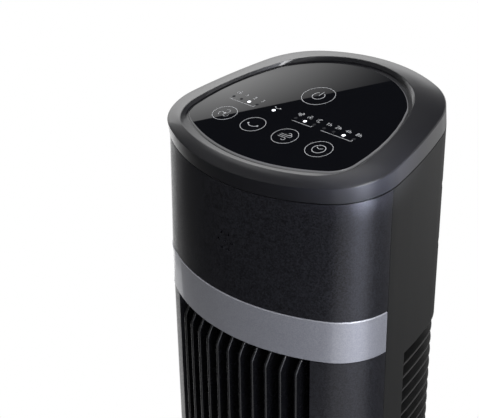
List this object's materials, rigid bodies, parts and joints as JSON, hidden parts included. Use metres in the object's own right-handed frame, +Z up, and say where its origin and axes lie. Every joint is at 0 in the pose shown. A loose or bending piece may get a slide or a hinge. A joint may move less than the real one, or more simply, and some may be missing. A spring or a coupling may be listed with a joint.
{
  "type": "tower fan",
  "caption": "Free-standing tower fan on a round base: swinging tower with a tilted touch control cap, upright outlet fins, rear intake slats and a cross-flow impeller.",
  "frame": {"origin": "on the floor under the middle of the round base, on the swing axis", "axes": "+Z up, -Y the way the air leaves, +X to the right of someone who faces +Y"},
  "size_m": [0.3, 0.3, 0.9566],
  "materials": {
    "rubber_black": "moulded rubber, matt",
    "abs_black": "moulded ABS, fine texture",
    "abs_gloss_black": "moulded ABS, polished tool",
    "shell_metallic_black": "moulded ABS with metal flake, semi-gloss",
    "shell_matt_grey": "moulded ABS, fine spark texture, matt",
    "cap_satin_grey": "moulded ABS, satin",
    "band_silver": "silver paint, satin",
    "touch_glass": "black-backed acrylic panel, high gloss, plain white printed symbols",
    "diffuser_white": "moulded light guide",
    "board_green": "solder mask",
    "acetal_white": "moulded acetal",
    "impeller_plastic": "glass-filled moulded plastic",
    "bronze": "sintered bronze",
    "copper_winding": "enamelled copper wire",
    "cast_alloy": "die cast",
    "steel_zinc": "zinc plated",
    "steel_plain": "plain steel"
  },
  "bodies": {
    "base": {"rubber_feet": "rubber_black", "base_tray": "abs_black", "ballast_plate": "steel_plain", "base_cover": "abs_gloss_black", "cord_grommet": "rubber_black", "base_screws": "steel_zinc", "swivel_post": "steel_plain", "post_screws": "steel_zinc", "slip_ring": "acetal_white", "keeper_washer": "steel_zinc", "retaining_ring": "steel_plain", "fixed_gear": "acetal_white"},
    "tower": {"tower_foot": "abs_black", "front_shell": "shell_metallic_black", "rear_shell": "shell_matt_grey", "rear_grille": "shell_matt_grey", "outlet_grille": "abs_black", "silver_band": "band_silver", "scroll_wall": "abs_black", "air_tongue": "abs_black", "lower_bulkhead": "abs_black", "upper_bulkhead": "abs_black", "top_bush": "bronze", "bush_mount": "rubber_black", "shell_screws": "steel_zinc", "handle_cup": "shell_matt_grey", "control_cap": "cap_satin_grey", "touch_glass": "touch_glass", "control_board": "board_green", "light_block": "diffuser_white", "touch_springs": "steel_zinc", "cap_screws": "steel_zinc", "power_board": "board_green", "beeper": "abs_black", "motor_laminations": "steel_plain", "motor_windings": "copper_winding", "lower_motor_bracket": "cast_alloy", "upper_motor_bracket": "cast_alloy", "motor_bearings": "bronze", "motor_grommets": "rubber_black", "motor_screws": "steel_zinc", "motor_capacitor": "abs_black", "swing_bracket": "steel_zinc", "swing_motor": "steel_zinc", "swing_screws": "steel_zinc"},
    "rotor": {"motor_rotor": "steel_plain", "motor_shaft": "steel_plain", "impeller_hub": "rubber_black", "impeller": "impeller_plastic", "impeller_pin": "steel_plain"},
    "pinion": {"swing_pinion": "acetal_white", "pinion_shaft": "steel_plain"}
  },
  "joints": [
    {"name": "swing", "type": "hinge", "parent": "base", "child": "tower", "pos_m": [0, 0, 0.05], "axis": [0, 0, 1], "range_deg": [-40, 40]},
    {"name": "impeller_spin", "type": "hinge", "parent": "tower", "child": "rotor", "pos_m": [0, 0.004, 0.5], "axis": [0, 0, 1], "continuous": true},
    {"name": "pinion_spin", "type": "hinge", "parent": "tower", "child": "pinion", "pos_m": [0, 0.04215, 0.072], "axis": [0, 0, 1], "range_deg": [-105, 105]}
  ],
  "couplings": [
    {"joint": "pinion_spin", "follows": "swing", "ratio": 2.5}
  ]
}
